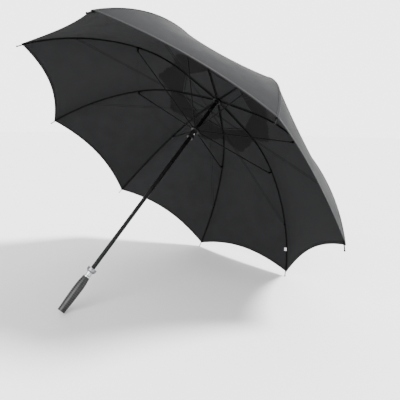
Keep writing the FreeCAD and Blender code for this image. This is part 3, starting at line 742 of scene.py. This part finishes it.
def strand_tube(start, end):
    """Round cord from start to end, as a closed tube, and the points of its centre line."""
    along = (end - start) / np.linalg.norm(end - start)
    side = np.cross(along, [0.0, 1.0, 0.0])
    up = np.cross(side, along)
    turns = [2 * math.pi * j / CORD_SIDES for j in range(CORD_SIDES + 1)]
    ring = [CORD_RADIUS * (math.cos(turn) * side + math.sin(turn) * up) for turn in turns]
    centre = [start + (end - start) * i / CORD_STEPS for i in range(CORD_STEPS + 1)]
    rows = [[point + offset for offset in ring] for point in centre]
    cloth = [[(i * CORD_FLAT_STEP, CORD_RADIUS * turn) for turn in turns] for i in range(len(centre))]
    return rows, np.array(cloth), centre


def make_cord(rib):
    """Doubled cord from the shaft's collar to the rib's bead."""
    point, slope = rib_at(KNEE_PLACE + BEAD_PLACE)
    bead = point - outward(slope) * BEAD_DROP
    root = np.array([CORD_HINGE_RADIUS, 0.0, CORD_HEIGHT])
    along = (bead - root) / np.linalg.norm(bead - root)
    length = np.linalg.norm(bead - root) - CORD_STOP
    for side, tag in ((-1, "a"), (1, "b")):
        start = root + np.array([0.0, side * CORD_SPREAD, 0.0])
        end = root + along * length + np.array([0.0, side * CORD_END_SPREAD, 0.0])
        rows, cloth, centre = strand_tube(start, end)
        obj = grid_object(f"cord_strand_{rib}_{tag}", in_shared_frame(rib, rows), cloth,
                          [SLOT_MATERIALS["cord"]], tube=True)
        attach(obj, f"tension_cord_{rib}")
        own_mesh(obj)
        if side < 0:
            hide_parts(f"tension_cord_{rib}")


# ---- small soft pieces ----

def strap_point(along, across, rise):
    """Point on the canopy's outside where the tie strap lies, along and across the strap."""
    place = STRAP_START + along
    return panel_point(place, (STRAP_SIDE + across) / chord_at(place), LOWER_LIFT + rise)


def strap_sheet(name, start, end, low, high, rise, thick, materials):
    """A flat tape with rounded edges on the strap's line, from start to end and low to high across."""
    count = round((end - start) / TAPE_STEP)
    section = [(low, 0.0), (low + TAPE_EDGE, thick), (high - TAPE_EDGE, thick), (high, 0.0),
               (high - TAPE_EDGE, -TAPE_UNDERSIDE), (low + TAPE_EDGE, -TAPE_UNDERSIDE), (low, 0.0)]
    rows, cloth = [], []
    for i in range(count + 1):
        along = start + (end - start) * i / count
        rows.append([strap_point(along, across, rise + up) for across, up in section])
        cloth.append([(along, across) for across, _ in section])
    rows, cloth = faces_outward(np.array(rows), np.array(cloth), 1)
    obj = grid_object(name, in_shared_frame(STRAP_RIB, rows), cloth, materials, tube=True)
    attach(obj, f"rib_outer_{STRAP_RIB}")
    return obj


def make_strap():
    """Tie strap on the outside of the canopy, with its hook patch at the free end."""
    tape = strap_sheet("tie_strap_tape", 0.0, STRAP_LENGTH, 0.0, STRAP_WIDTH,
                       TAPE_RISE, TAPE_THICKNESS, [STRAP_EDGE_MATERIAL])
    patch = strap_sheet("tie_strap_hooks", STRAP_LENGTH - PATCH_START_FROM_END,
                        STRAP_LENGTH - PATCH_STOP_FROM_END, PATCH_MARGIN, STRAP_WIDTH - PATCH_MARGIN,
                        PATCH_RISE, PATCH_THICKNESS, [HOOK_MATERIAL])
    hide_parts("tie_strap")


def make_label():
    """Small blank care label, bent round the underside of the rib on its way to the hem."""
    rows, cloth = [], []
    for i in range(LABEL_STEPS + 1):
        along = LABEL_WIDTH * (i / LABEL_STEPS - 0.5)
        point, slope = rib_at(LABEL_PLACE + along)
        row, flat = [], []
        for j in range(LABEL_STEPS + 1):
            across = LABEL_HALF * (2 * j / LABEL_STEPS - 1)
            bend = math.cos(math.pi * across / (2 * LABEL_HALF)) ** 0.5
            drop = LABEL_DROP + LABEL_SAG * bend
            row.append(point - outward(slope) * drop + np.array([0.0, across, 0.0]))
            flat.append((along, across))
        rows.append(row)
        cloth.append(flat)
    obj = grid_object("blank_label", in_shared_frame(LABEL_RIB, rows), cloth, [LABEL_MATERIAL])
    thicken = obj.modifiers.new("cloth", "SOLIDIFY")
    thicken.thickness = LABEL_THICKNESS
    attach(obj, f"rib_outer_{LABEL_RIB}")


# ---- stage ----

FLOOR_REACH = 40.0
BACKDROP = (-0.762, 0.635, 0.0)
BACKDROP_EDGE = (0.5, 0.78)
BACKDROP_LIGHT = 3.85
ROOM_LIGHT = 0.91
KEY_SIDE = (0.5, 0.5, 0.8)
KEY_LIGHT = 9.8
KEY_SPREAD = 16.0
FILL_SIDE = (0.35, -0.8, 0.45)
FILL_LIGHT = 3.85
FILL_SPREAD = 60.0
CAMERA_SENSOR = 36.0
CAMERA_LENS = 34.3
CAMERA_SHIFT = (0.064, -0.053)
CAMERA_PLACE = (1.044, -0.8448, 0.555)
CAMERA_FORWARD = (-0.762, 0.635, -0.129)
CAMERA_ROLL = math.radians(1.0)


def make_floor():
    mesh = bpy.data.meshes.new("floor")
    corners = [(x * FLOOR_REACH, y * FLOOR_REACH, 0) for x, y in ((-1, -1), (1, -1), (1, 1), (-1, 1))]
    mesh.from_pydata(corners, [], [(0, 1, 2, 3)])
    floor = bpy.data.objects.new("floor", mesh)
    bpy.context.scene.collection.objects.link(floor)
    paint = Shader("pale_floor", Roughness=0.9, Specular_IOR_Level=0.1)
    paint.colour(paint.ramp(paint.noise(paint.object_space, 2.0), (0.3, (0.86, 0.86, 0.86)),
                            (0.7, (0.88, 0.88, 0.88))))
    mesh.materials.append(paint.material)


def make_backdrop():
    """Soft even room light, with a brighter backdrop behind the umbrella."""
    world = bpy.data.worlds.new("studio")
    bpy.context.scene.world = world
    world.use_nodes = True
    tree = world.node_tree
    background = tree.nodes["Background"]
    background.inputs["Color"].default_value = (1.0, 1.0, 1.0, 1.0)
    around = tree.nodes.new("ShaderNodeTexCoord")
    facing = tree.nodes.new("ShaderNodeVectorMath")
    facing.operation = "DOT_PRODUCT"
    facing.inputs[1].default_value = BACKDROP
    tree.links.new(around.outputs["Generated"], facing.inputs[0])
    strength = tree.nodes.new("ShaderNodeMapRange")
    strength.inputs["From Min"].default_value = BACKDROP_EDGE[0]
    strength.inputs["From Max"].default_value = BACKDROP_EDGE[1]
    strength.inputs["To Min"].default_value = ROOM_LIGHT
    strength.inputs["To Max"].default_value = BACKDROP_LIGHT
    tree.links.new(facing.outputs["Value"], strength.inputs["Value"])
    tree.links.new(strength.outputs["Result"], background.inputs["Strength"])


def sun(name, towards, strength, spread):
    """Wide soft light from a direction, as a large lamp far away gives."""
    light = bpy.data.lights.new(name, "SUN")
    light.energy = strength
    light.angle = math.radians(spread)
    obj = bpy.data.objects.new(name, light)
    bpy.context.scene.collection.objects.link(obj)
    obj.rotation_euler = (-Vector(towards)).to_track_quat("-Z", "Y").to_euler()


def make_camera():
    camera = bpy.data.cameras.new("camera")
    camera.sensor_width = CAMERA_SENSOR
    camera.lens = CAMERA_LENS
    camera.shift_x, camera.shift_y = CAMERA_SHIFT
    obj = bpy.data.objects.new("camera", camera)
    bpy.context.scene.collection.objects.link(obj)
    forward = Vector(CAMERA_FORWARD).normalized()
    turn = forward.to_track_quat("-Z", "Y").to_matrix().to_4x4()
    roll = Matrix.Rotation(CAMERA_ROLL, 4, "Z")
    obj.matrix_world = Matrix.Translation(CAMERA_PLACE) @ turn @ roll
    bpy.context.scene.camera = obj


make_camera()
make_floor()
make_backdrop()
sun("key", KEY_SIDE, KEY_LIGHT, KEY_SPREAD)
sun("fill", FILL_SIDE, FILL_LIGHT, FILL_SPREAD)
dress_cad_nodes()
make_canopy()
for number in range(1, RIBS + 1):
    make_cord(number)
make_strap()
make_label()
